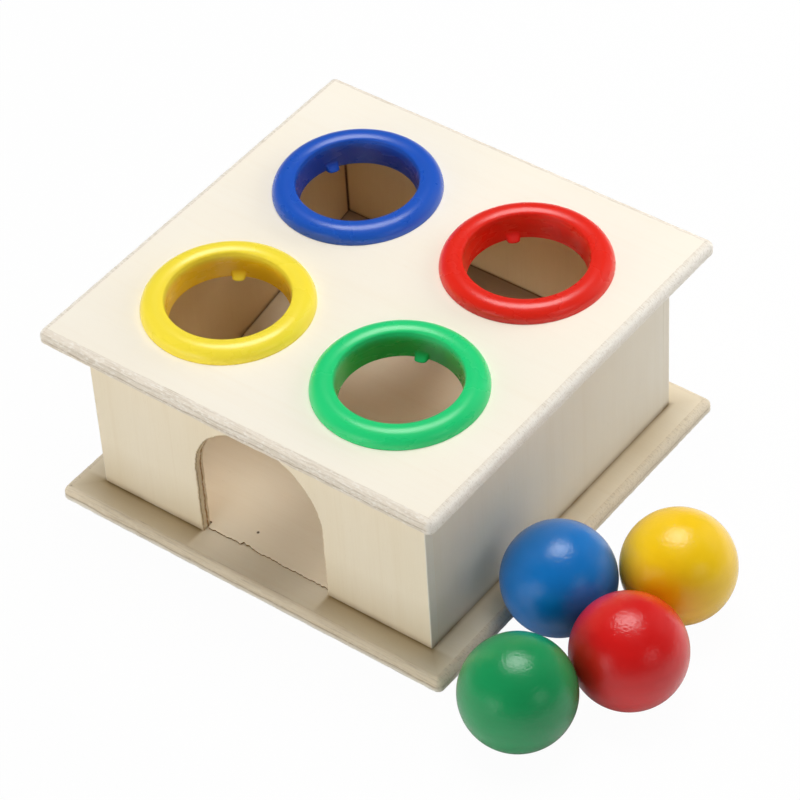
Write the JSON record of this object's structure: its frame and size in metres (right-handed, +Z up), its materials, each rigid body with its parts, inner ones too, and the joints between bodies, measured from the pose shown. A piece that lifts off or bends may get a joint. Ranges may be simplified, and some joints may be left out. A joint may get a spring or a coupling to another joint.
{
  "type": "ball pounding bench",
  "caption": "Plywood pounding box with coloured plastic rings in its top, a sloping board inside, an arched exit and loose painted wooden balls.",
  "frame": {"origin": "centre of the base panel's underside", "axes": "+Z up, -Y towards the arched exit, +X towards the loose balls"},
  "size_m": [0.1771, 0.1379, 0.0639],
  "materials": {
    "plywood": "bare sanded pale plywood, matt",
    "ring_yellow": "moulded plastic, soft gloss",
    "ring_green": "moulded plastic, soft gloss",
    "ring_blue": "moulded plastic, soft gloss",
    "ring_red": "moulded plastic, soft gloss",
    "ball_blue": "satin paint on solid wood",
    "ball_red": "satin paint on solid wood",
    "ball_yellow": "satin paint on solid wood",
    "ball_green": "satin paint on solid wood"
  },
  "bodies": {
    "bench": {"base_panel": "plywood", "front_wall": "plywood", "back_wall": "plywood", "left_wall": "plywood", "right_wall": "plywood", "ramp_board": "plywood", "top_panel": "plywood", "ring_yellow": "ring_yellow", "ring_green": "ring_green", "ring_blue": "ring_blue", "ring_red": "ring_red"},
    "blue_ball": {"ball_blue": "ball_blue"},
    "red_ball": {"ball_red": "ball_red"},
    "yellow_ball": {"ball_yellow": "ball_yellow"},
    "green_ball": {"ball_green": "ball_green"}
  },
  "joints": [
    {"name": "blue_ball_lift", "type": "slide", "parent": "bench", "child": "blue_ball", "axis": [0.1478, 0, 0.989], "range_m": [0, 0.09]},
    {"name": "red_ball_lift", "type": "slide", "parent": "bench", "child": "red_ball", "axis": [0.1478, 0, 0.989], "range_m": [0, 0.09]},
    {"name": "yellow_ball_lift", "type": "slide", "parent": "bench", "child": "yellow_ball", "axis": [0.1478, 0, 0.989], "range_m": [0, 0.09]},
    {"name": "green_ball_lift", "type": "slide", "parent": "bench", "child": "green_ball", "axis": [0.1478, 0, 0.989], "range_m": [0, 0.09]}
  ]
}
